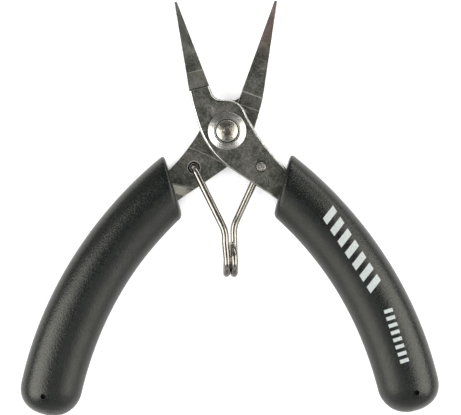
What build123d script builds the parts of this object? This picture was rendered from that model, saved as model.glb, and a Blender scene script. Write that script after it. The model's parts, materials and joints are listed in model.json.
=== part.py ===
"""Small lap-joint flat nose pliers with dipped grips and a wire spring, lying open on their grips.

Each half is one lever (jaw, lap plate and tang) with a grip moulded on its tang. Both halves are
the same part: the rear half is the front half turned over about the centre line. A rivet with a
turned collar at each end holds the laps together. A wire spring hooks into a hole in each tang.

Millimetres. Lever and grip are drawn closed, about the pivot, with +Y to the jaw tips, and are then
turned open. The object stands on z = 0, and +Z is the pivot's axis.
"""

import os
from math import radians, tan

from build123d import *

# Whole tool
half_opening = 20.5  # each half's turn from closed to the rest pose
pivot_y = 19.73  # puts the origin at the middle of the open tool
grip_thickness = 12.0
mid_height = grip_thickness / 2  # the plane where the two laps meet
lap_gap = 0.06  # between the two lap faces
cut_depth = 40  # reaches past any piece that it cuts

# Lever, in plan
face_gap = 0.03  # each jaw face's distance from the centre line
tip_y = 35.8
tip_width = 0.8
cheek_tilt = 7.0  # the cross lines of a half lie square to its jaw, not to the centre line
tang_start = (5.57, -20.75)
tang_end = (12.6, -18.3)
tang_mid_half = 3.25  # half the tang's width inside the grip
tang_mid_angle = 15.0
tang_tail_half = 2.7
tang_tail_angle = 3.0  # where the tang ends inside the grip, as an angle about grip_centre
tang_tail_bulge = 1.6
tang_inset = 0.4  # the tang runs this far inside the middle of the grip

# Lever, along its length: distances from the pivot along the tilted centre line
taper_v = 16.9  # the jaw gets thinner from here to the tip
step_v = 12.6  # the jaw's cheek steps up to the lap plate
ramp_top_v = 11.0  # the jaw's other cheek ramps down to the lap face
ramp_foot_v = 7.7
relief_v = -6.6  # the tang's inner face lies a little below the lap face
joggle_v = -16.4  # the tang comes back to the middle plane
joggle_end_v = -18.6
step_run = 0.35
joggle_run = 0.6
joggle_end_run = 0.4
relief_run = 0.2
view_top_v = 37.0  # the side view reaches past the tip and past the tang's end
view_foot_v = -90.0
lap_thickness = 2.9
jaw_root_half = 1.7
jaw_tip_half = 1.0
lap_round = 7.4  # each lap's corner turns inside this radius, clear of the other jaw's root
lap_round_depth = 2.0
relief_depth = 0.2
tang_half = 1.35

# Pivot
shank_radius = 2.0
running_clearance = 0.03
collar_radius = 4.9
collar_lip_radius = 3.3
collar_height = 0.95
collar_edge = 0.5
collar_floor = 0.3
collar_lip_flat = 0.3
head_radius = 3.03
head_height = 1.45
head_rim = 0.75
head_round = 0.4
dimple_radius = 1.1
dimple_depth = 0.3
dimple_floor_radius = 0.4
dimple_side_depth = 0.18

# Grip
grip_width = 15.6
grip_corner = 5.2
grip_centre = (-75.2, -65.2)  # centre of the grip's long bend
grip_bend = 95.9
grip_end_angle = -7.1
grip_blank_angle = 38.0  # the bend runs past the mouth, and is then cut off
mouth_tip = (13.4, -11.0)
mouth_corner = (4.1, -23.5)
mouth_round = 0.9
pin_hole = (21.0, -79.6)
pin_hole_radius = 0.67
pin_hole_depth = 2.0

# Spring
wire_radius = 0.85
spring_hole = (4.9, -11.65)
spring_hole_radius = 1.2
countersink_radius = 1.6
hook_x, hook_y = 8.665, -9.196  # the spring holes of the open tool, either side of the centre line
hook_height = 1.0  # the wire's height over its tang's hole, from the middle plane
hook_bend = 1.1
hook_end_height = 2.85
left_knee = (-0.72, -25.8)  # where each arm turns down into its leg
right_knee = (1.38, -24.6)
knee_bend = 7.0
left_hinge_x = -0.6
right_hinge_x = 1.5
hinge_y = -28.6
hinge_height = 3.44
hinge_gap = 0.1
join_rise = 0.005  # each leg joins the coil in a ball this much larger than the wire
leg_lean = 3.5  # each leg leans this far out of the plane of the tool
coil_x = 0.6
coil_y = -32.95
coil_radius = 3.7
coil_pitch = 2.05
coil_turns = 1.5
coil_yaw = 7.5
coil_tilt = 2.5  # the coil's right end hangs lower

os.makedirs("parts", exist_ok=True)


def save(piece, name):
    """Label a finished piece and write its STEP file."""
    piece.part.label = name
    export_step(piece.part, f"parts/{name}.step")


def half_plane(angle, flipped):
    """The plane of one half of the open tool. The rear half is turned over."""
    face = -1 if flipped else 1
    across = Vector(face, 0, 0).rotate(Axis.Z, angle)
    return Plane(origin=(0, pivot_y, mid_height), x_dir=across, z_dir=(0, 0, face))


front_half = half_plane(half_opening, flipped=False)
rear_half = half_plane(-half_opening, flipped=True)
open_tool = Plane(origin=(0, pivot_y, mid_height))


def on_bend(radius, angle):
    """A point at a radius and an angle about the centre of the grip's bend."""
    return Vector(*grip_centre) + Vector(radius, 0).rotate(Axis.Z, angle)


# ---------------------------------------------------------------- lever

tang_middle = grip_bend - tang_inset
tang_inner_tail = on_bend(tang_middle - tang_tail_half, tang_tail_angle)
tang_outer_tail = on_bend(tang_middle + tang_tail_half, tang_tail_angle)

with BuildPart() as lever:
    with BuildSketch(Plane.XY.offset(-lap_thickness)):
        with BuildLine():
            Polyline((-face_gap, 10.4), (-face_gap, tip_y), (-tip_width, tip_y), (-5.45, 13.0))
            ThreePointArc((-5.45, 13.0), (-6.15, 7.6), (-6.4, 3.0))
            ThreePointArc((-6.4, 3.0), (-5.5, -3.6), (-3.56, -8.0))
            Line((-3.56, -8.0), tang_start)
            ThreePointArc(
                tang_start,
                on_bend(tang_middle - tang_mid_half, tang_mid_angle),
                tang_inner_tail,
            )
            ThreePointArc(
                tang_inner_tail,
                on_bend(tang_middle, tang_tail_angle - tang_tail_bulge),
                tang_outer_tail,
            )
            ThreePointArc(
                tang_outer_tail,
                on_bend(tang_middle + tang_mid_half, tang_mid_angle),
                tang_end,
            )
            ThreePointArc(tang_end, (9.2, -10.9), (7.0, -3.6))
            Polyline((7.0, -3.6), (6.15, 1.4), (6.05, 3.3))
            ThreePointArc((6.05, 3.3), (5.2, 5.8), (3.1, 7.25))
            Line((3.1, 7.25), (1.2, 8.2))
            ThreePointArc((1.2, 8.2), (0.3, 9.0), (-face_gap, 10.4))
        make_face()
    extrude(amount=2 * lap_thickness)

    # The side view, square to the jaw, cuts the blank to thickness.
    along = Vector(0, 1, 0).rotate(Axis.Z, -cheek_tilt)
    with BuildSketch(Plane(origin=(0, 0, 0), x_dir=along, z_dir=along.cross(Vector(0, 0, 1)))):
        with BuildLine():
            Polyline(
                (view_top_v, -jaw_tip_half),
                (view_top_v, jaw_tip_half),
                (taper_v, jaw_root_half),
                (step_v, jaw_root_half),
                (step_v - step_run, lap_thickness),
                (joggle_v - joggle_run, lap_thickness),
                (joggle_end_v - joggle_end_run, tang_half),
                (view_foot_v, tang_half),
                (view_foot_v, -tang_half),
                (joggle_end_v, -tang_half),
                (joggle_v, relief_depth + lap_gap / 2),
                (relief_v - relief_run, relief_depth + lap_gap / 2),
                (relief_v, lap_gap / 2),
                (ramp_foot_v, lap_gap / 2),
                (ramp_top_v, -jaw_root_half),
                (taper_v, -jaw_root_half),
                close=True,
            )
        make_face()
    extrude(amount=cut_depth, both=True, mode=Mode.INTERSECT)

    # The lap face's corner is cut back to a round, under the part that shows.
    with BuildSketch(Plane.XY.offset(-lap_thickness)):
        with Locations((-face_gap, 0)):
            Rectangle(cut_depth, cut_depth, align=(Align.MIN, Align.MIN))
        Circle(lap_round, mode=Mode.SUBTRACT)
    extrude(amount=lap_thickness + lap_round_depth, mode=Mode.SUBTRACT)

    Hole(shank_radius + running_clearance)
    with Locations(Plane((*spring_hole, lap_thickness))):
        CounterSinkHole(spring_hole_radius, countersink_radius)
    with Locations(Plane((*spring_hole, relief_depth + lap_gap / 2), z_dir=(0, 0, -1))):
        Cone(
            spring_hole_radius,
            countersink_radius,
            countersink_radius - spring_hole_radius,
            align=(Align.CENTER, Align.CENTER, Align.MAX),
            mode=Mode.SUBTRACT,
        )

for name, plane in (("front_lever", front_half), ("rear_lever", rear_half)):
    with BuildPart(plane) as placed:
        add(lever.part)
    save(placed, name)

# ---------------------------------------------------------------- grips

end_point = on_bend(grip_bend, grip_end_angle)
end_section = Plane(
    origin=end_point,
    x_dir=Vector(1, 0, 0).rotate(Axis.Z, grip_end_angle),
    z_dir=Vector(0, -1, 0).rotate(Axis.Z, grip_end_angle),
)
mouth_line = Vector(*mouth_tip) - Vector(*mouth_corner)
mouth_out = mouth_line.rotate(Axis.Z, 90).normalized()


def make_grip(pin_side):
    """The grip of a closed half. pin_side is +1 or -1, for the face that has the pin hole."""
    with BuildPart() as grip:
        with BuildSketch(end_section):
            RectangleRounded(grip_width, grip_thickness, grip_corner)
        revolve(axis=Axis((*grip_centre, 0), (0, 0, 1)), revolution_arc=grip_blank_angle - grip_end_angle)
        with BuildSketch(end_section):
            RectangleRounded(grip_width, grip_thickness, grip_corner)
            with Locations((-grip_width / 2, 0)):
                Rectangle(grip_width, grip_thickness, mode=Mode.SUBTRACT)
        revolve(axis=Axis(end_point, (0, 0, 1)), revolution_arc=-180)

        with BuildSketch(Plane.XY.offset(-grip_thickness)):
            with BuildLine():
                Polyline(
                    Vector(*mouth_tip) + mouth_line * 2,
                    Vector(*mouth_corner) - mouth_line * 2,
                    Vector(*mouth_corner) - mouth_line * 2 + mouth_out * cut_depth,
                    Vector(*mouth_tip) + mouth_line * 2 + mouth_out * cut_depth,
                    close=True,
                )
            make_face()
        extrude(amount=2 * grip_thickness, mode=Mode.SUBTRACT)
        mouth_edges = grip.faces().sort_by(Axis(mouth_tip + (0,), mouth_out))[-1].edges()
        fillet(mouth_edges, mouth_round)

        add(lever.part, mode=Mode.SUBTRACT)
        with Locations((*pin_hole, pin_side * (grip_thickness - pin_hole_depth) / 2)):
            Cylinder(pin_hole_radius, pin_hole_depth, mode=Mode.SUBTRACT)
    return grip


for name, plane, pin_side in (("right_grip", front_half, 1), ("left_grip", rear_half, -1)):
    with BuildPart(plane) as placed:
        add(make_grip(pin_side).part)
    save(placed, name)

# ---------------------------------------------------------------- pivot

pivot_section = Plane(open_tool.origin, x_dir=(1, 0, 0), z_dir=(0, -1, 0))
pivot_axis = Axis(open_tool.origin, (0, 0, 1))
head_seat = lap_thickness + collar_floor
head_top = lap_thickness + head_height

with BuildPart() as pivot_rivet:
    with BuildSketch(pivot_section):
        for face in (1, -1):
            with BuildLine():
                Polyline(
                    (0, face * (head_top - dimple_depth)),
                    (0, 0),
                    (shank_radius, 0),
                    (shank_radius, face * head_seat),
                    (head_radius, face * head_seat),
                    (head_radius, face * (head_seat + head_rim - head_round)),
                )
                ThreePointArc(
                    (head_radius, face * (head_seat + head_rim - head_round)),
                    (head_radius - head_round, face * (head_seat + head_rim)),
                    (dimple_radius + head_round, face * head_top),
                )
                ThreePointArc(
                    (dimple_radius + head_round, face * head_top),
                    (dimple_radius, face * (head_top - dimple_side_depth)),
                    (dimple_floor_radius, face * (head_top - dimple_depth)),
                )
                Line(
                    (dimple_floor_radius, face * (head_top - dimple_depth)),
                    (0, face * (head_top - dimple_depth)),
                )
            make_face()
    revolve(axis=pivot_axis)
save(pivot_rivet, "pivot_rivet")

for name, face, stand_off in (("front_collar", 1, 0), ("rear_collar", -1, running_clearance)):
    base = face * (lap_thickness + stand_off)
    with BuildPart() as collar:
        with BuildSketch(pivot_section):
            with BuildLine():
                Polyline(
                    (shank_radius, base),
                    (collar_radius, base),
                    (collar_radius, base + face * collar_edge),
                    (collar_lip_radius + collar_lip_flat, base + face * collar_height),
                    (collar_lip_radius, base + face * collar_height),
                    (collar_lip_radius, face * head_seat),
                    (shank_radius, face * head_seat),
                    close=True,
                )
            make_face()
        revolve(axis=pivot_axis)
    save(collar, name)

# ---------------------------------------------------------------- spring


def tool_point(x, y, height):
    """A point of the open tool, from the pivot and the middle plane."""
    return open_tool.from_local_coords(Vector(x, y, height))


def wire_section(path):
    """The wire's round section at the start of a path."""
    with BuildSketch(path.line ^ 0, mode=Mode.PRIVATE) as section:
        Circle(wire_radius)
    return section.sketch


def make_arm(side, hinge_x, knee):
    """One arm, from its hinge by the coil up to its hook in the tang. side is -1 left, +1 right."""
    hinge = tool_point(hinge_x, hinge_y, -side * hinge_height)
    knee_height = hinge_height - (knee[1] - hinge_y) * tan(radians(leg_lean))
    with BuildPart() as arm:
        with BuildLine() as path:
            FilletPolyline(
                hinge,
                tool_point(*knee, -side * knee_height),
                tool_point(side * hook_x, hook_y, -side * hook_height),
                tool_point(side * hook_x, hook_y, side * hook_end_height),
                radius=[knee_bend, hook_bend],
            )
        sweep(wire_section(path), path=path.line)
        with Locations(hinge):
            Sphere(wire_radius)
    return arm


save(make_arm(-1, left_hinge_x, left_knee), "spring_left_arm")
save(make_arm(1, right_hinge_x, right_knee), "spring_right_arm")

# The coil's own axes: x to the wire's start at its front, y down, z along the coil to the right.
wound_turns = coil_turns + 2 * leg_lean / 360
coil_length = coil_pitch * wound_turns
coil_front = Vector(0, 0, 1).rotate(Axis.X, -leg_lean).rotate(Axis.Y, coil_yaw).rotate(Axis.Z, -coil_tilt)
coil_axis = Vector(1, 0, 0).rotate(Axis.Y, coil_yaw).rotate(Axis.Z, -coil_tilt)
coil_plane = Plane(origin=tool_point(coil_x, coil_y, 0), x_dir=coil_front, z_dir=coil_axis)

with BuildPart() as turns:
    with BuildLine() as helix:
        Helix(coil_pitch, coil_length, coil_radius, center=(0, 0, -coil_length / 2))
    sweep(wire_section(helix), path=helix.line, is_frenet=True)

with BuildPart() as spring_coil:
    for end, side, hinge_x in ((0, -1, left_hinge_x), (1, 1, right_hinge_x)):
        start = coil_plane.from_local_coords(helix.line @ end)
        hinge = tool_point(hinge_x, hinge_y, -side * hinge_height)
        with BuildLine() as leg:
            Line(start, hinge + (start - hinge).normalized() * (wire_radius + hinge_gap))
        sweep(wire_section(leg), path=leg.line)
        with Locations(start):
            Sphere(wire_radius + join_rise)
    with Locations(coil_plane):
        add(turns.part)
save(spring_coil, "spring_coil")
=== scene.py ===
"""Flat nose pliers, lying open on their grips: the looks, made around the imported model.

Both halves are the same part, and one is turned over. A half is drawn closed, in millimetres about the
pivot, with +Y to the jaw tips and the pivot's axis along Z. HALVES places it in the frame, in metres.
"""

import json
import math

import bmesh
import bpy
from mathutils import Euler, Matrix, Vector, noise


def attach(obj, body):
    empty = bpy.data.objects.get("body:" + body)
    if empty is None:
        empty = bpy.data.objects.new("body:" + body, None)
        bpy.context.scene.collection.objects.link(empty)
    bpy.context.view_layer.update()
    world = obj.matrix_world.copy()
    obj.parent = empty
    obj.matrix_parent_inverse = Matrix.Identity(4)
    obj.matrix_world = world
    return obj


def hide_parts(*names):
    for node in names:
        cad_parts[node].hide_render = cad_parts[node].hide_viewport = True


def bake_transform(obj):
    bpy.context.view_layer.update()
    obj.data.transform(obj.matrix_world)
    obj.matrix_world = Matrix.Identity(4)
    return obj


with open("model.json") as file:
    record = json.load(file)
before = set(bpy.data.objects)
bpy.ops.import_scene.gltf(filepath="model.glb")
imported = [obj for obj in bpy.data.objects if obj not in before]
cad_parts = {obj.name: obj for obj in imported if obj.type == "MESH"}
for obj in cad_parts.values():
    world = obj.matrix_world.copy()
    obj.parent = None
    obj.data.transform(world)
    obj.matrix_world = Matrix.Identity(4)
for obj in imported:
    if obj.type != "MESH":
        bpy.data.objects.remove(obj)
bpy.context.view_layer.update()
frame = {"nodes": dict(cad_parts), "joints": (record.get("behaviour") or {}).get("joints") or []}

MM = 0.001
JOINTS = {joint["name"]: joint for joint in frame["joints"]}
PIVOT = Vector(JOINTS["pivot"]["pos_m"])
HALF_OPENING = math.radians(JOINTS["pivot"]["range_deg"][1] / 2)
TURNS = {"front": Euler((0, 0, HALF_OPENING)), "rear": Euler((0, math.pi, -HALF_OPENING))}
OPEN_TOOL = Matrix.Translation(PIVOT) @ Matrix.Scale(MM, 4)
HALVES = {side: OPEN_TOOL @ turn.to_matrix().to_4x4() for side, turn in TURNS.items()}

# Lever
CHEEK_TILT = math.radians(7)  # the cross lines of a half lie square to its jaw
STEP = 12.6  # along the jaw, where its cheek steps up to the lap plate
TAPER = 16.9  # along the jaw, where it starts to get thinner
RAMP = (11.0, 7.7)  # the top and the bottom of the ramp on the back
RELIEF = -7.3  # where the tang's inner face drops below the lap face
JOGGLE, JOGGLE_SLANT = -16.3, 0.12  # where the tang bends back to the middle
JAW_LENGTH = 35.8
SPRING_HOLE = Vector((4.9, -11.65))
BORE_REACH, HOLE_REACH = 2.4, 1.8  # edges nearer to the pivot or to the spring hole stay sharp
WIDEST_ROUND, NARROW_ROUND = 0.6, 0.12  # of the lever's edges
SHARP_ANGLE = math.radians(25)
FLAT_AREA = 4.0  # faces of the lever larger than this, in square millimetres, are flat
SAME_CURVE = math.cos(math.radians(35))

# Grip
BEND_CENTRE = Vector((-75.2, -65.2))
BEND_RADIUS = 95.9
MOUTH_TIP = Vector((13.4, -11.0))
MOUTH_CORNER = Vector((4.1, -23.5))
MOUTH_NORMAL = Vector((MOUTH_CORNER.y - MOUTH_TIP.y, MOUTH_TIP.x - MOUTH_CORNER.x)).normalized()
GRIP_HALF_THICKNESS = 6.0
GRIP_HALF_WIDTH, GRIP_SWELL = 7.74, 0.26  # at the mouth, and what it gains towards the end
INNER_TRIM = 0.25  # the inner side is a little nearer to the bend's centre line
INNER_POWER, OUTER_POWER = 2.05, 2.3  # how square the two halves of its section are
INNER_END_POWER, OUTER_END_POWER = 2.0, 2.45  # how square its end is, in plan
RIM_ROUND = 1.1
CAP_START = math.radians(-7.1)
CAP_LENGTH = 7.5
PIN_HOLE = Vector((21.0, -79.6))
PIN_HOLE_RADIUS, PIN_HOLE_DEPTH = 0.67, 2.0

# Spring, in the open tool
WIRE_RADIUS, COIL_WIRE_RADIUS = 0.95, 0.92
SPREAD = {-1: 0.11, 1: 0.21}  # how much wider each end of the wire is, in its hole
SPREAD_LENGTH = 1.3
HOOK = (8.665, -9.196)
HOOK_HEIGHT = 1.0
HOOK_END_HEIGHT = 2.85
KNEES = {-1: (-0.72, -25.8), 1: (1.38, -24.6)}  # where each arm turns down into its leg
KNEE_START = -23.0  # from here the wire narrows to its coil's thickness
HINGE_X = {-1: -0.72, 1: 1.5}
HINGE_Y, HINGE_HEIGHT = -28.6, 3.44
BENDS = (1.9, 7.0, 12.0, 3.0)  # their radii, from the hook to the coil
COIL_UNDERSIDE = (-35.0, -36.4)  # where the coil turns under, and the wire is painted dark as shade
LEG_LEAN = math.radians(3.5)
COIL_CENTRE = Vector((0.6, -32.95, 0))
COIL_RADIUS = 3.7
COIL_PITCH = 1.95
COIL_TURN = 3 * math.pi + 2 * LEG_LEAN  # one and a half turns, and the lean at each end
SEAM_TURN = math.pi  # the two ends of the wire meet at the coil's back
COIL_POSE = Matrix.Rotation(math.radians(-2.5), 3, "Z") @ Matrix.Rotation(math.radians(7.5), 3, "Y")


# ---------------------------------------------------------------- mesh tools


def new_piece(name, bm, placement, materials):
    """A new object from a bmesh in millimetres."""
    mesh = bpy.data.meshes.new(name)
    bmesh.ops.recalc_face_normals(bm, faces=bm.faces)
    bm.to_mesh(mesh)
    bm.free()
    mesh.transform(placement)
    if placement.determinant() < 0:
        mesh.flip_normals()
    for material in materials:
        mesh.materials.append(material)
    piece = bpy.data.objects.new(name, mesh)
    bpy.context.scene.collection.objects.link(piece)
    return piece


def stands_for(piece, slot, *nodes):
    """The piece shows in place of these CAD nodes."""
    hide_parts(*nodes)


def loft(bm, rings, closed_ends=True):
    """Skin closed rings of points, in order, and close the two ends with one face each."""
    rows = [[bm.verts.new(point) for point in ring] for ring in rings]
    for one, two in zip(rows, rows[1:]):
        for k in range(len(one)):
            after = (k + 1) % len(one)
            bm.faces.new((one[k], one[after], two[after], two[k]))
    if closed_ends:
        bm.faces.new(rows[0])
        bm.faces.new(reversed(rows[-1]))
    for face in bm.faces:
        face.smooth = True
    return rows


def apply_modifiers(piece):
    """Make the shape that its modifiers give it the piece's own mesh."""
    bpy.context.view_layer.update()
    shaped = bpy.data.meshes.new_from_object(piece.evaluated_get(bpy.context.evaluated_depsgraph_get()))
    piece.modifiers.clear()
    piece.data = shaped


def shade_bevels(mesh):
    """Flat faces (material 0) shade flat, curved ones smoothly, and bevels (material 1) run into both."""
    around = [[] for _ in mesh.vertices]
    for face in mesh.polygons:
        for vertex in face.vertices:
            around[vertex].append(face)
    normals = []
    for face in mesh.polygons:
        for vertex in face.vertices:
            near = [other for other in around[vertex] if other.normal.dot(face.normal) > SAME_CURVE]
            kept = [other for other in near if other.material_index == 0] or near
            if face.material_index == 0 and face.area > FLAT_AREA * MM**2:
                kept = [face]
            total = Vector()
            for other in kept:
                total += other.normal * other.area
            normals.append(total.normalized())
    mesh.normals_split_custom_set(normals)


def flat_faces_stay_flat(piece):
    """Weighted normals keep the flat faces flat beside their rounded edges."""
    modifier = piece.modifiers.new("normals", "WEIGHTED_NORMAL")
    modifier.keep_sharp = True
    modifier.weight = 50


def mark_sharp(bm, angle):
    """Edges that turn by more than this angle shade as corners."""
    for edge in bm.edges:
        edge.smooth = len(edge.link_faces) == 2 and edge.calc_face_angle() < angle


def rounded_route(points, radii, step):
    """Points along a polyline whose inner corners are arcs of these radii, at most a step apart."""
    corners = [Vector(p) for p in points]
    route = [corners[0]]
    for before, corner, after, radius in zip(corners, corners[1:], corners[2:], radii):
        inward, outward = (corner - before).normalized(), (after - corner).normalized()
        turn = inward.angle(outward)
        reach = radius * math.tan(turn / 2)
        centre = corner + (outward - inward).normalized() * (radius / math.cos(turn / 2))
        start = corner - inward * reach
        axis = inward.cross(outward)
        count = max(2, math.ceil(turn / math.radians(6)))
        for k in range(count + 1):
            route.append(centre + Matrix.Rotation(turn * k / count, 3, axis) @ (start - centre))
    route.append(corners[-1])
    fine = [route[0]]
    for one, two in zip(route, route[1:]):
        count = max(1, math.ceil((two - one).length / step))
        fine += [one.lerp(two, k / count) for k in range(1, count + 1)]
    return fine


# ---------------------------------------------------------------- material tools


class Shader:
    """A material's nodes, with short ways to add and join them."""

    def __init__(self, name, **surface):
        self.material = bpy.data.materials.new(name)
        self.material.use_nodes = True
        self.tree = self.material.node_tree
        self.surface = self.tree.nodes["Principled BSDF"]
        for socket, value in surface.items():
            self.put(self.surface.inputs[socket.replace("_", " ")], value)

    def put(self, socket, value):
        if isinstance(value, bpy.types.NodeSocket):
            self.tree.links.new(value, socket)
        else:
            socket.default_value = value

    def node(self, kind, *values, **settings):
        """Add a node. The values go to its inputs in order, and None leaves one as it is."""
        made = self.tree.nodes.new(kind)
        for name, value in settings.items():
            setattr(made, name, value)
        for socket, value in zip(made.inputs, values):
            if value is not None:
                self.put(socket, value)
        return made

    def math(self, operation, *values, clamp=False):
        made = self.node("ShaderNodeMath", *values, operation=operation, use_clamp=clamp)
        return made.outputs[0]

    def both(self, *masks):
        """The product of masks, which is 1 only where each of them is."""
        product = masks[0]
        for mask in masks[1:]:
            product = self.math("MULTIPLY", product, mask)
        return product

    def place(self, vector, turn, origin=(0, 0, 0), unit=1.0):
        """Coordinates about an origin, turned, in this unit."""
        made = self.node("ShaderNodeMapping", vector, vector_type="TEXTURE")
        made.inputs["Location"].default_value = origin
        made.inputs["Rotation"].default_value = turn
        made.inputs["Scale"].default_value = (unit, unit, unit)
        return made.outputs[0]

    def position(self):
        return self.node("ShaderNodeTexCoord").outputs["Object"]

    def split(self, vector):
        return self.node("ShaderNodeSeparateXYZ", vector).outputs

    def noise(self, vector, scale, detail=3.0, roughness=0.5, stretch=None):
        """Noise from 0 to 1, with this many features a millimetre."""
        if stretch:
            vector = self.place(vector, (0, 0, stretch[1]))
            scaled = self.node("ShaderNodeVectorMath", vector, (stretch[0], 1, 1), operation="MULTIPLY")
            vector = scaled.outputs[0]
        made = self.node("ShaderNodeTexNoise")
        values = {"Vector": vector, "Scale": scale, "Detail": detail, "Roughness": roughness}
        for socket, value in values.items():
            self.put(made.inputs[socket], value)
        return made.outputs["Fac"]

    def between(self, value, low, high, to_low=0.0, to_high=1.0):
        """Map low..high to another range, smoothly and with no overshoot."""
        made = self.node("ShaderNodeMapRange", value, low, high, to_low, to_high)
        made.interpolation_type = "SMOOTHSTEP"
        return made.outputs[0]

    def band(self, value, low, high, soft):
        """1 from low to high, and 0 outside them, with soft edges inside the band."""
        return self.both(self.between(value, low, low + soft), self.between(value, high, high - soft))

    def blend(self, share, one, two):
        """One colour where the share is 0, and the other where it is 1."""
        made = self.node("ShaderNodeMix", data_type="RGBA")
        self.put(made.inputs["Factor"], share)
        for socket, colour in (("A", one), ("B", two)):
            value = colour if isinstance(colour, bpy.types.NodeSocket) else (*colour, 1)
            self.put(next(s for s in made.inputs if s.name == socket and s.type == "RGBA"), value)
        return next(s for s in made.outputs if s.type == "RGBA")

    def stain(self, colour, mask, strength, tint):
        """The colour with this much of a tint where the mask is 1."""
        return self.blend(self.both(mask, strength), colour, tint)

    def bump(self, height, depth, under=None):
        """A normal from a height of 0 to 1, this many millimetres deep."""
        made = self.node("ShaderNodeBump")
        made.inputs["Distance"].default_value = depth * MM
        self.put(made.inputs["Height"], height)
        if under:
            self.put(made.inputs["Normal"], under)
        return made.outputs[0]

    def finish(self, colour, roughness, normal):
        self.put(self.surface.inputs["Base Color"], colour)
        self.put(self.surface.inputs["Roughness"], roughness)
        self.put(self.surface.inputs["Normal"], normal)
        return self.material


# ---------------------------------------------------------------- materials


def half_position(shader, side):
    """Where a point is in its closed half, in millimetres."""
    return shader.place(shader.position(), TURNS[side], PIVOT, MM)


def tool_position(shader):
    """Where a point is in the open tool, in millimetres about the pivot."""
    return shader.place(shader.position(), (0, 0, 0), PIVOT, MM)


def scratches(shader, at, seed):
    """Thin straight scratches in three directions, from 0 to 1."""
    total = None
    for k in range(3):
        lines = shader.noise(at, 5.5 + k, 1.0, 0.5, stretch=(0.035, seed + 1.1 * k))
        thin = shader.between(lines, 0.66, 0.74)
        total = thin if total is None else shader.math("MAXIMUM", total, thin)
    patchy = shader.between(shader.noise(at, 0.22, 2.0), 0.45, 0.65)
    return shader.both(total, patchy)


def from_axis(shader, at, centre=(0, 0)):
    """The distance in plan from an upright axis."""
    plan = shader.node("ShaderNodeVectorMath", at, (1, 1, 0), operation="MULTIPLY").outputs[0]
    return shader.node("ShaderNodeVectorMath", plan, (*centre, 0), operation="DISTANCE").outputs["Value"]


def thin_line(shader, coordinate, place):
    """1 where a coordinate is at this place, and 0 beyond 0.2 mm."""
    distance = shader.math("ABSOLUTE", shader.math("SUBTRACT", coordinate, place))
    return shader.between(distance, 0.06, 0.2, 1.0, 0.0)


def steel(side, tip_colour):
    """Tumbled satin tool steel, stained olive in patches, with a tint at the jaw's tip, painted highlights
    along its creases and round the spring hole, and painted shade on the ramp and inside the hole.
    """
    shader = Shader(f"{side}_steel", Metallic=1.0)
    at = half_position(shader, side)
    along = shader.split(shader.place(at, (0, 0, -CHEEK_TILT)))[1]
    x, y, z = shader.split(at)
    cloud = shader.noise(at, 0.28, 4.0, 0.6)
    speckle = shader.noise(at, 1.9, 4.0, 0.7)
    pits = shader.between(shader.noise(at, 1.5, 2.0, 0.55), 0.27, 0.36, 1.0, 0.0)
    lines = scratches(shader, at, 0.4)

    colour = shader.blend(shader.between(cloud, 0.35, 0.68), (0.122, 0.124, 0.101), (0.200, 0.198, 0.167))
    colour = shader.blend(shader.between(speckle, 0.38, 0.68), colour, (0.315, 0.31, 0.27))
    front_face = shader.math("GREATER_THAN", z, 0.9)
    back_face = shader.math("SUBTRACT", 1.0, front_face)

    # The flat and the ramp at the jaw's root, the tang where it bends back, and the jaw's tip; the ramp is
    # painted darker as shade, and the bend gets a painted highlight
    flat = shader.both(shader.band(along, STEP, TAPER, 0.2), front_face)
    colour = shader.stain(colour, flat, 0.8, (0.37, 0.365, 0.305))
    slope = shader.math("ADD", y, shader.math("MULTIPLY", x, JOGGLE_SLANT))
    # painted highlight where the tang bends back towards the light
    joggle_painted_highlight = shader.both(shader.between(slope, JOGGLE, JOGGLE - 0.3), back_face)
    colour = shader.stain(colour, joggle_painted_highlight, 0.45, (0.60, 0.59, 0.50))
    # painted shade on the ramp, which faces away from the light
    ramp = shader.both(shader.band(y, RAMP[1], RAMP[0], 0.2), back_face)
    colour = shader.stain(colour, ramp, 0.35, (0.10, 0.10, 0.085))
    tip = shader.between(along, TAPER, 0.92 * JAW_LENGTH)
    colour = shader.stain(colour, tip, 0.8, tip_colour)
    colour = shader.stain(colour, pits, 0.55, (0.09, 0.088, 0.075))
    colour = shader.stain(colour, lines, 0.65, (0.60, 0.59, 0.54))

    # The lines where two flats meet, and the rim of the spring hole, are painted bright as highlights
    painted_glint = shader.both(thin_line(shader, along, TAPER), front_face)
    beyond = shader.math("SUBTRACT", x, 6.5)
    relief = shader.math("MULTIPLY_ADD", shader.math("MULTIPLY", beyond, beyond), 0.012, y)
    for coordinate, place in ((y, RAMP[0]), (y, RAMP[1]), (slope, JOGGLE), (relief, RELIEF)):
        painted_glint = shader.math("MAXIMUM", painted_glint, shader.both(thin_line(shader, coordinate, place), back_face))
    hole = from_axis(shader, at, SPRING_HOLE)
    # painted highlight: a bright ring round the spring hole on the back
    rim = shader.both(shader.between(hole, 1.80, 1.70), shader.between(hole, 1.48, 1.56), back_face)
    painted_glint = shader.math("MAXIMUM", painted_glint, rim)
    colour = shader.stain(colour, painted_glint, 0.8, (0.62, 0.60, 0.54))
    # Painted shade: the inside of the spring hole, on the back, is painted near-black
    hole_painted_shade = shader.both(shader.between(hole, 1.54, 1.46), back_face)
    colour = shader.blend(hole_painted_shade, colour, (0.02, 0.02, 0.018))

    roughness = shader.between(cloud, 0.3, 0.7, 0.30, 0.40)
    roughness = shader.math("MULTIPLY_ADD", rim, 0.25, roughness)
    roughness = shader.math("ADD", roughness, shader.math("MULTIPLY", speckle, 0.10))
    normal = shader.bump(shader.noise(at, 0.5, 2.0), 0.05)
    normal = shader.bump(speckle, 0.012, normal)
    normal = shader.bump(lines, 0.006, normal)
    return shader.finish(colour, roughness, normal)


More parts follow.
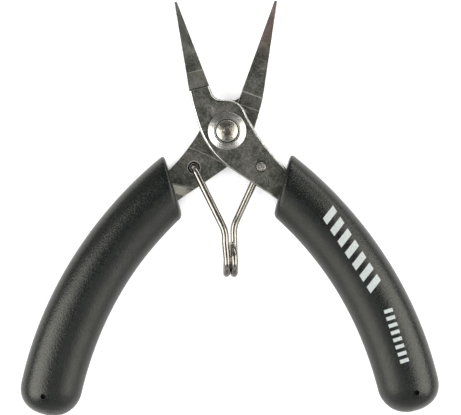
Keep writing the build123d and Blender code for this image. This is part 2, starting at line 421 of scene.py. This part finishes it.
def worn_edge(side):
    """The lever's rounded edges, rubbed bright, with painted shade darkening them on the tang's inner edge.
    """
    shader = Shader(f"{side}_steel_edge", Metallic=1.0)
    at = half_position(shader, side)
    rub = shader.noise(at, 0.9, 4.0, 0.65)
    fine = shader.noise(at, 5.0, 3.0, 0.6)
    colour = shader.blend(shader.between(rub, 0.35, 0.65), (0.50, 0.49, 0.45), (0.82, 0.80, 0.75))
    x, y, _ = shader.split(at)
    inner_edge = shader.math("LESS_THAN", shader.math("MULTIPLY_ADD", y, 0.53, x), 0.0)
    # painted shade: the edge is darkened along the tang's inner side
    edge_painted_shade = shader.both(shader.between(y, -2.0, -4.5), inner_edge)
    colour = shader.stain(colour, edge_painted_shade, 0.75, (0.20, 0.195, 0.17))
    roughness = shader.between(rub, 0.3, 0.7, 0.34, 0.22)
    normal = shader.bump(fine, 0.006)
    return shader.finish(colour, roughness, normal)


def row_of_bars(shader, at, start, end, pitch, width, height, slant):
    """A straight row of slanted bars from one plan point to another, from 0 to 1."""
    start, end = Vector(start), Vector(end)
    run = end - start
    turned = shader.place(at, (0, 0, math.atan2(run.y, run.x)), (start.x, start.y, 0))
    x, y, _ = shader.split(turned)
    leaning = shader.math("ADD", x, shader.math("MULTIPLY", y, slant))
    beat = shader.math("PINGPONG", leaning, pitch / 2)
    soft = 0.07
    bar = shader.between(beat, width / 2 - soft, width / 2 + soft, 1.0, 0.0)
    tall = shader.between(shader.math("ABSOLUTE", y), height / 2 - soft, height / 2 + soft, 1.0, 0.0)
    count = round(run.length / pitch)
    first = shader.between(leaning, -pitch / 2, -pitch / 2 + soft)
    last = shader.between(leaning, (count - 0.5) * pitch - soft, (count - 0.5) * pitch, 1.0, 0.0)
    return shader.both(bar, tall, shader.both(first, last))


def moulded(side, printed):
    """Near-black moulded plastic with a fine sandy grain, some dust, and a generic print."""
    shader = Shader(f"{side}_grip", Specular_IOR_Level=0.72, Specular_Tint=(1.0, 0.98, 0.86, 1))
    at = half_position(shader, side)
    grain = shader.noise(at, 2.3, 3.0, 0.65)
    cloud = shader.noise(at, 0.16, 3.0, 0.55)
    dust = shader.between(shader.noise(at, 2.4, 2.0, 0.6), 0.66, 0.74)

    colour = shader.between(cloud, 0.35, 0.65)
    colour = shader.blend(colour, (0.0012, 0.0032, 0.0042), (0.0030, 0.0055, 0.0066))
    colour = shader.blend(shader.between(grain, 0.45, 0.8), colour, (0.0075, 0.0105, 0.010))
    colour = shader.stain(colour, dust, 0.5, (0.10, 0.105, 0.10))
    roughness = shader.between(grain, 0.3, 0.7, 0.21, 0.33)
    across = shader.node("ShaderNodeVectorMath", at, (*BEND_CENTRE, 0), operation="DISTANCE")
    inner = shader.between(across.outputs["Value"], BEND_RADIUS - 1, BEND_RADIUS + 1, 0.14, 0.0)
    roughness = shader.math("ADD", roughness, inner)
    if printed:
        bars = shader.math("MAXIMUM", *[row_of_bars(shader, at, *row) for row in PRINT_ROWS])
        upper_side = shader.math("GREATER_THAN", shader.split(at)[2], 0.0)
        worn = shader.between(shader.noise(at, 3.0, 3.0), 0.22, 0.36)
        colour = shader.blend(shader.both(bars, upper_side, worn), colour, (0.62, 0.67, 0.64))
    normal = shader.bump(grain, 0.06)
    normal = shader.bump(cloud, 0.08, normal)
    return shader.finish(colour, roughness, normal)


def rivet_steel():
    """The rivet's head: hammered, then rubbed bright on its rim."""
    shader = Shader("rivet_steel", Metallic=1.0)
    at = tool_position(shader)
    radius = from_axis(shader, at)
    spots = shader.noise(at, 1.1, 3.0, 0.6)
    fine = shader.noise(at, 5.0, 3.0, 0.6)
    centre = shader.between(radius, 2.7, 1.2)
    stain = shader.both(shader.between(spots, 0.62, 0.42), centre)
    colour = shader.blend(shader.between(fine, 0.3, 0.7), (0.50, 0.48, 0.42), (0.64, 0.62, 0.55))
    colour = shader.blend(stain, colour, (0.25, 0.22, 0.16))
    roughness = shader.between(spots, 0.35, 0.65, 0.34, 0.22)
    normal = shader.bump(spots, 0.05)
    normal = shader.bump(fine, 0.01, normal)
    return shader.finish(colour, roughness, normal)


def turned_steel():
    """The collars: bright, with the lathe's fine circles."""
    shader = Shader("turned_steel", Metallic=1.0)
    at = tool_position(shader)
    radius = from_axis(shader, at)
    circles = shader.node("ShaderNodeTexNoise", noise_dimensions="1D")
    shader.put(circles.inputs["W"], radius)
    circles.inputs["Scale"].default_value = 7.0
    circles.inputs["Detail"].default_value = 3.0
    rings = circles.outputs["Fac"]
    cloud = shader.noise(at, 0.8, 3.0)
    colour = shader.blend(shader.between(rings, 0.3, 0.7), (0.60, 0.585, 0.53), (0.78, 0.765, 0.70))
    roughness = shader.between(cloud, 0.3, 0.7, 0.24, 0.32)
    return shader.finish(colour, roughness, shader.bump(rings, 0.02))


def drawn_wire():
    """Bright drawn wire with faint lines along it, painted shade where the coil turns under, and grey cut
    ends. Its UV is in mm.
    """
    shader = Shader("drawn_wire", Metallic=1.0)
    along = shader.node("ShaderNodeUVMap").outputs[0]
    streaks = shader.noise(along, 3.0, 3.0, 0.6, stretch=(0.06, 0.0))
    cloud = shader.noise(along, 0.35, 3.0)
    fine = shader.noise(along, 6.0, 2.0)
    colour = shader.blend(shader.between(cloud, 0.35, 0.65), (0.33, 0.31, 0.265), (0.43, 0.405, 0.35))
    colour = shader.blend(shader.between(streaks, 0.55, 0.75, 0.0, 0.4), colour, (0.24, 0.22, 0.18))
    at = tool_position(shader)
    # painted shade: the wire is darkened where the coil turns under
    coil_painted_shade = shader.between(shader.split(at)[1], *COIL_UNDERSIDE)
    colour = shader.stain(colour, coil_painted_shade, 0.88, (0.07, 0.064, 0.052))
    cut_end = shader.between(shader.split(along)[0], 0.02, -0.04)
    mottled = shader.between(shader.noise(at, 1.7, 3.0, 0.6), 0.38, 0.62)
    mottled = shader.blend(mottled, (0.17, 0.163, 0.14), (0.56, 0.54, 0.49))
    colour = shader.blend(cut_end, colour, mottled)
    roughness = shader.between(cloud, 0.3, 0.7, 0.15, 0.24)
    roughness = shader.math("MULTIPLY_ADD", cut_end, 0.30, roughness)
    normal = shader.bump(streaks, 0.008)
    normal = shader.bump(fine, 0.003, normal)
    return shader.finish(colour, roughness, normal)


# The generic print on the right grip: start, end, pitch, width of a bar, height and slant.
PRINT_ROWS = (
    ((16.7, -29.5), (21.5, -53.3), 3.45, 1.9, 4.0, 0.35),
    ((21.8, -57.6), (20.9, -72.6), 1.9, 0.95, 2.3, 0.0),
)


# ---------------------------------------------------------------- levers


def edge_round(edge):
    """How far a lever's edge is rounded, in millimetres."""
    middle = (edge.verts[0].co + edge.verts[1].co) / 2
    plan = middle.xy
    if (plan - MOUTH_CORNER).dot(MOUTH_NORMAL) < -1.0:
        return 0.0  # inside the grip
    if plan.length < BORE_REACH or (plan - SPRING_HOLE).length < HOLE_REACH:
        return 0.0
    if not edge.is_convex:
        return 0.0
    upright = [abs(face.normal.z) < 0.3 for face in edge.link_faces]
    if all(upright):
        return NARROW_ROUND
    if not any(upright):
        return 0.0
    steps_down = any(face.normal.y > 0.9 for face in edge.link_faces)
    on_front = middle.z >= 2.0
    return WIDEST_ROUND if on_front and not steps_down else NARROW_ROUND


def make_lever(side, body, materials):
    """A lever with rounded edges, from the CAD lever's own faces."""
    bm = bmesh.new()
    bm.from_mesh(frame["nodes"][f"{side}_lever"].data)
    bm.transform(HALVES[side].inverted())
    bmesh.ops.remove_doubles(bm, verts=bm.verts, dist=0.002)
    bmesh.ops.dissolve_limit(bm, angle_limit=math.radians(0.4), verts=bm.verts, edges=bm.edges)
    weight = bm.edges.layers.float.new("bevel_weight_edge")
    for edge in bm.edges:
        edge.smooth = True
        if len(edge.link_faces) == 2 and edge.calc_face_angle() > SHARP_ANGLE:
            edge[weight] = edge_round(edge) / WIDEST_ROUND
            edge.smooth = edge[weight] > 0
    for face in bm.faces:
        face.smooth = True
    lever = new_piece(f"{side}_lever_steel", bm, HALVES[side], materials)
    if "custom_normal" in lever.data.attributes:
        lever.data.attributes.remove(lever.data.attributes["custom_normal"])
    bevel = lever.modifiers.new("edges", "BEVEL")
    bevel.limit_method = "WEIGHT"
    bevel.width = WIDEST_ROUND * MM
    bevel.segments = 4
    bevel.use_clamp_overlap = False
    bevel.material = 1
    apply_modifiers(lever)
    shade_bevels(lever.data)
    stands_for(lever, "steel", f"{side}_lever")
    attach(lever, body)


# ---------------------------------------------------------------- grips


def section(share):
    """A unit point of the grip's rounded section, at a share of the way round."""
    c, s = math.cos(2 * math.pi * share), math.sin(2 * math.pi * share)
    power = 2 / (INNER_POWER if c < 0 else OUTER_POWER)
    return math.copysign(abs(c) ** power, c), math.copysign(abs(s) ** power, s)


def smooth(t):
    t = min(1, max(0, t))
    return t * t * (3 - 2 * t)


def on_bend(radius, angle, z):
    plan = BEND_CENTRE + Vector((math.cos(angle), math.sin(angle))) * radius
    return Vector((plan.x, plan.y, z))


def mouth_angle(radius):
    """Where a circle about the bend's centre crosses the mouth."""
    reach = MOUTH_NORMAL.dot(MOUTH_CORNER - BEND_CENTRE)
    return math.atan2(MOUTH_NORMAL.y, MOUTH_NORMAL.x) - math.acos(reach / radius)


def grip_ring(sides, run, inset=0.0, lead=0.0, cap=0.0):
    """A ring of the grip. run is 0 at the mouth and 1 at the end cap, and cap goes from 0 to 1 round it."""
    ring = []
    half_width = GRIP_HALF_WIDTH + GRIP_SWELL * smooth(run * 1.4 - 0.3)
    for k in range(sides):
        c, s = section(k / sides)
        outward = smooth((c + 1) / 2)
        power = 2 / (INNER_END_POWER + (OUTER_END_POWER - INNER_END_POWER) * outward)
        shrink = math.cos(cap * math.pi / 2) ** power
        forward = CAP_LENGTH * math.sin(cap * math.pi / 2) ** power
        across = c * (half_width - inset - (INNER_TRIM if c < 0 else 0)) * shrink
        z = s * (GRIP_HALF_THICKNESS - inset) * shrink
        radius = BEND_RADIUS + across
        start = mouth_angle(radius) - lead / radius
        angle = start + (CAP_START - start) * run - forward / radius
        ring.append(on_bend(radius, angle, z))
    return ring


def make_grip(side, name, body, pin_side, material):
    """A moulded grip: a bent, rounded bar with a slanted mouth, a squarish end and a pin hole."""
    sides = 96
    rim_steps, run_steps, cap_steps = 7, 110, 18
    rings = []
    for k in range(rim_steps):
        turn = math.pi / 2 * (1 - k / rim_steps)
        inset, lead = RIM_ROUND * (1 - math.cos(turn)), RIM_ROUND * (1 - math.sin(turn))
        rings.append(grip_ring(sides, 0, inset, lead))
    rings += [grip_ring(sides, k / run_steps, lead=RIM_ROUND) for k in range(run_steps)]
    rings += [grip_ring(sides, 1, lead=RIM_ROUND, cap=k / cap_steps) for k in range(cap_steps)]
    bm = bmesh.new()
    rows = loft(bm, rings, closed_ends=False)
    bm.faces.new(rows[0]).smooth = True
    tip = bm.verts.new(on_bend(BEND_RADIUS, CAP_START - CAP_LENGTH / BEND_RADIUS, 0))
    for k in range(sides):
        bm.faces.new((rows[-1][k], rows[-1][(k + 1) % sides], tip)).smooth = True
    mark_sharp(bm, math.radians(35))
    grip = new_piece(name, bm, HALVES[side], [material])

    cutter_bm = bmesh.new()
    bmesh.ops.create_cone(
        cutter_bm,
        cap_ends=True,
        segments=32,
        radius1=PIN_HOLE_RADIUS,
        radius2=PIN_HOLE_RADIUS,
        depth=2 * PIN_HOLE_DEPTH,
        matrix=Matrix.Translation((PIN_HOLE.x, PIN_HOLE.y, pin_side * GRIP_HALF_THICKNESS)),
    )
    cutter = new_piece(f"{name}_cutter", cutter_bm, HALVES[side], [])
    cut = grip.modifiers.new("pin hole", "BOOLEAN")
    cut.object = cutter
    cut.solver = "EXACT"
    apply_modifiers(grip)
    bpy.data.objects.remove(cutter)
    flat_faces_stay_flat(grip)
    stands_for(grip, "grip", f"{'right' if side == 'front' else 'left'}_grip")
    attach(grip, body)


# ---------------------------------------------------------------- pivot


def lathe(name, profile, material, pits=0.0):
    """Turn a closed profile of (radius, z) about the pivot's axis. A radius of 0 is a pole."""
    sides = 128
    bm = bmesh.new()
    rows = []
    for radius, z in profile:
        if radius == 0:
            rows.append([bm.verts.new((0, 0, z))])
            continue
        row = []
        for k in range(sides):
            angle = 2 * math.pi * k / sides
            x, y = radius * math.cos(angle), radius * math.sin(angle)
            dent = pits * smooth((2.4 - radius) / 0.8) * noise.noise((1.3 * x, 1.3 * y, z))
            row.append(bm.verts.new((x, y, z + math.copysign(dent, z))))
        rows.append(row)
    pairs = list(zip(rows, rows[1:]))
    if profile[0][0] > 0:
        pairs.append((rows[-1], rows[0]))
    for one, two in pairs:
        for k in range(sides):
            after = (k + 1) % sides
            corners = [one[k % len(one)], one[after % len(one)], two[after % len(two)], two[k % len(two)]]
            bm.faces.new(list(dict.fromkeys(corners))).smooth = True
    mark_sharp(bm, math.radians(35))
    piece = new_piece(name, bm, OPEN_TOOL, [material])
    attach(piece, "front_half")
    return piece


def rounded_profile(corners, radii, steps=5):
    """A profile of (radius, z) with each inner corner rounded."""
    out = [corners[0]]
    for before, corner, after, radius in zip(corners, corners[1:], corners[2:], radii):
        b, c, a = Vector(before), Vector(corner), Vector(after)
        inward, outward = (c - b).normalized(), (a - c).normalized()
        turn = inward.angle(outward)
        if radius == 0 or turn < 0.01:
            out.append(corner)
            continue
        reach = radius * math.tan(turn / 2)
        one, two = c - inward * reach, c + outward * reach
        for k in range(steps + 1):
            t = k / steps
            point = one.lerp(c, t).lerp(c.lerp(two, t), t)
            out.append((point.x, point.y))
    out.append(corners[-1])
    return out


# ---------------------------------------------------------------- spring


def coil_point(turn):
    """A point of the wire's centre line in the coil, from its left end at turn 0."""
    front = COIL_POSE @ Matrix.Rotation(-LEG_LEAN, 3, "X") @ Vector((0, 0, 1))
    axis = COIL_POSE @ Vector((1, 0, 0))
    down = axis.cross(front)
    spread = COIL_PITCH * (turn - COIL_TURN / 2) / (2 * math.pi)
    return COIL_CENTRE + COIL_RADIUS * (front * math.cos(turn) + down * math.sin(turn)) + axis * spread


def make_wire(side, name, material):
    """One end of the spring in one piece of wire: its hook, arm, leg and part of the coil."""
    start = 0 if side < 0 else COIL_TURN
    knee_height = HINGE_HEIGHT - (KNEES[side][1] - HINGE_Y) * math.tan(LEG_LEAN)
    corners = [
        (side * HOOK[0], HOOK[1], side * HOOK_END_HEIGHT),
        (side * HOOK[0], HOOK[1], -side * HOOK_HEIGHT),
        (*KNEES[side], -side * knee_height),
        (HINGE_X[side], HINGE_Y, -side * HINGE_HEIGHT),
        coil_point(start),
        coil_point(start - side * 0.25),
    ]
    route = rounded_route(corners, BENDS, 0.6)[:-1]
    steps = 90
    first = start - side * 0.25
    route += [coil_point(first + (SEAM_TURN - first) * k / steps) for k in range(steps + 1)]
    sides = 28
    bm = bmesh.new()
    uv = bm.loops.layers.uv.new("UVMap")
    rings, lengths = [], [0.0]
    tangent = (route[1] - route[0]).normalized()
    across = tangent.orthogonal().normalized()
    for k, point in enumerate(route):
        ahead = route[min(k + 1, len(route) - 1)] - route[max(k - 1, 0)]
        turn = tangent.rotation_difference(ahead.normalized())
        tangent, across = ahead.normalized(), turn @ across
        other = tangent.cross(across)
        if k:
            lengths.append(lengths[-1] + (point - route[k - 1]).length)
        angles = [2 * math.pi * j / sides for j in range(sides)]
        radius = WIRE_RADIUS + SPREAD[side] * smooth(SPREAD_LENGTH - lengths[-1])
        radius += (COIL_WIRE_RADIUS - WIRE_RADIUS) * smooth((KNEE_START - point.y) / 5.0)
        rings.append([point + radius * (across * math.cos(a) + other * math.sin(a)) for a in angles])
    outward = (route[0] - route[1]).normalized()
    cut = rings[0]
    for share, rise in ((0.93, 0.015), (0.75, 0.045), (0.5, 0.07), (0.2, 0.08)):
        rings.insert(0, [route[0].lerp(p, share) + outward * rise for p in cut])
        lengths.insert(0, (share - 1) * WIRE_RADIUS)
    rows = loft(bm, rings)
    place = {vert: (lengths[i], j) for i, row in enumerate(rows) for j, vert in enumerate(row)}
    for face in bm.faces:
        turns = [place[loop.vert][1] for loop in face.loops]
        for loop in face.loops:
            length, j = place[loop.vert]
            wrapped = j + sides if len(face.loops) == 4 and max(turns) - j > sides / 2 else j
            loop[uv].uv = (length, wrapped * 2 * math.pi * WIRE_RADIUS / sides)
    mark_sharp(bm, math.radians(35))
    piece = new_piece(name, bm, OPEN_TOOL, [material])
    arm = "left" if side < 0 else "right"
    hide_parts("spring_coil", f"spring_{arm}_arm")
    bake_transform(piece)


# ---------------------------------------------------------------- the pieces

steels = {
    "front": [steel("front", (0.355, 0.345, 0.315)), worn_edge("front")],
    "rear": [steel("rear", (0.47, 0.325, 0.295)), worn_edge("rear")],
}
make_lever("front", "front_half", steels["front"])
make_lever("rear", "rear_half", steels["rear"])
make_grip("front", "right_grip_moulding", "front_half", 1, moulded("front", True))
make_grip("rear", "left_grip_moulding", "rear_half", -1, moulded("rear", False))

head = rounded_profile(
    [(0, 4.17), (0.4, 4.17), (1.15, 4.35), (2.86, 3.87), (2.86, 3.2), (2.0, 3.2), (2.0, 0)],
    (0, 0.45, 0.45, 0, 0),
)
rivet_profile = head + [(radius, -z) for radius, z in reversed(head[:-1])]
rivet = lathe("rivet", rivet_profile, rivet_steel(), pits=0.04)
stands_for(rivet, "rivet", "pivot_rivet")

turned = turned_steel()
for name, face, base in (("front_collar", 1, 2.9), ("rear_collar", -1, 2.93)):
    ring = rounded_profile(
        [
            (2.05, base),
            (4.9, base),
            (4.9, 3.4),
            (3.4, 3.87),
            (3.17, 3.87),
            (2.97, 3.6),
            (2.97, 3.2),
            (2.05, 3.2),
        ],
        (0, 0.12, 0.08, 0.08, 0, 0),
    )
    collar = lathe(f"{name}_ring", [(radius, face * z) for radius, z in ring], turned)
    stands_for(collar, "collar", name)

wire = drawn_wire()
make_wire(-1, "spring_left_wire", wire)
make_wire(1, "spring_right_wire", wire)


# ---------------------------------------------------------------- stage, light and camera


def make_floor():
    """A pale floor that glows as a light table does, with the glow cut under the tool as a painted shadow.
    """
    bm = bmesh.new()
    bmesh.ops.create_grid(bm, x_segments=1, y_segments=1, size=4)
    shader = Shader("pale_floor", Base_Color=(0.35, 0.35, 0.35, 1), Roughness=0.9, Specular_IOR_Level=0.0)
    shader.put(shader.surface.inputs["Emission Color"], (1, 1, 1, 1))
    open_sky = shader.node("ShaderNodeAmbientOcclusion", samples=8)
    open_sky.inputs["Distance"].default_value = 12 * MM
    # painted shadow: the glow fades where the tool covers the floor
    glow = shader.between(open_sky.outputs["AO"], 0.25, 0.43, 0.0, 1.0)
    shader.put(shader.surface.inputs["Emission Strength"], glow)
    floor = new_piece("floor", bm, Matrix.Identity(4), [shader.material])


def make_sky():
    """A room that is dark overhead and at the horizon, pale between them, and paler at the near side."""
    world = bpy.data.worlds.new("studio")
    bpy.context.scene.world = world
    world.use_nodes = True
    nodes, links = world.node_tree.nodes, world.node_tree.links
    direction = nodes.new("ShaderNodeTexCoord")
    split = nodes.new("ShaderNodeSeparateXYZ")
    links.new(direction.outputs["Generated"], split.inputs[0])
    ramp = nodes.new("ShaderNodeValToRGB")
    links.new(split.outputs["Z"], ramp.inputs["Fac"])
    elements = ramp.color_ramp.elements
    elements[0].position, elements[0].color = 0.0, (0.10, 0.10, 0.105, 1)
    elements[1].position, elements[1].color = 1.0, (0.105, 0.11, 0.115, 1)
    for position, level in ((0.10, 0.12), (0.20, 0.50), (0.50, 0.45), (0.68, 0.12)):
        element = elements.new(position)
        element.color = (level, level * 1.01, level * 1.03, 1)
    links.new(ramp.outputs["Color"], nodes["Background"].inputs["Color"])
    near_side = nodes.new("ShaderNodeMapRange")
    for socket, value in zip(near_side.inputs, (None, -1, 1, 1.5, 0.6)):
        if value is not None:
            socket.default_value = value
    links.new(split.outputs["Y"], near_side.inputs["Value"])
    links.new(near_side.outputs[0], nodes["Background"].inputs["Strength"])


def make_softbox(name, azimuth, elevation, distance, width, height, power):
    light = bpy.data.lights.new(name, "AREA")
    light.shape = "RECTANGLE"
    light.size, light.size_y = width, height
    light.energy = power
    lamp = bpy.data.objects.new(name, light)
    lamp.visible_camera = False
    a, e = math.radians(azimuth), math.radians(elevation)
    towards = Vector((math.cos(a) * math.cos(e), math.sin(a) * math.cos(e), math.sin(e)))
    lamp.location = PIVOT + towards * distance
    lamp.rotation_euler = towards.to_track_quat("Z", "Y").to_euler()
    bpy.context.scene.collection.objects.link(lamp)


def make_camera():
    """Straight above the tool. The view is a little below the pivot, and turned by half a degree."""
    width, distance_share = 118.7, 150 / 36
    camera = bpy.data.objects.new("camera", bpy.data.cameras.new("camera"))
    camera.data.lens, camera.data.sensor_width = 150, 36
    camera.data.clip_start = 0.01
    camera.location = OPEN_TOOL @ Vector((0.67, -19.61, width * distance_share))
    camera.rotation_euler = (0, 0, math.radians(-0.6))
    bpy.context.scene.collection.objects.link(camera)
    bpy.context.scene.camera = camera


make_floor()
make_sky()
make_softbox("softbox_right", -8, 43, 0.44, 0.44, 0.33, 1.28)
make_softbox("softbox_left", 196, 43, 0.44, 0.36, 0.33, 1.25)
make_softbox("strip_far", 55, 24, 0.44, 0.38, 0.12, 0.32)
make_camera()
bpy.context.scene.view_settings.view_transform = "Standard"
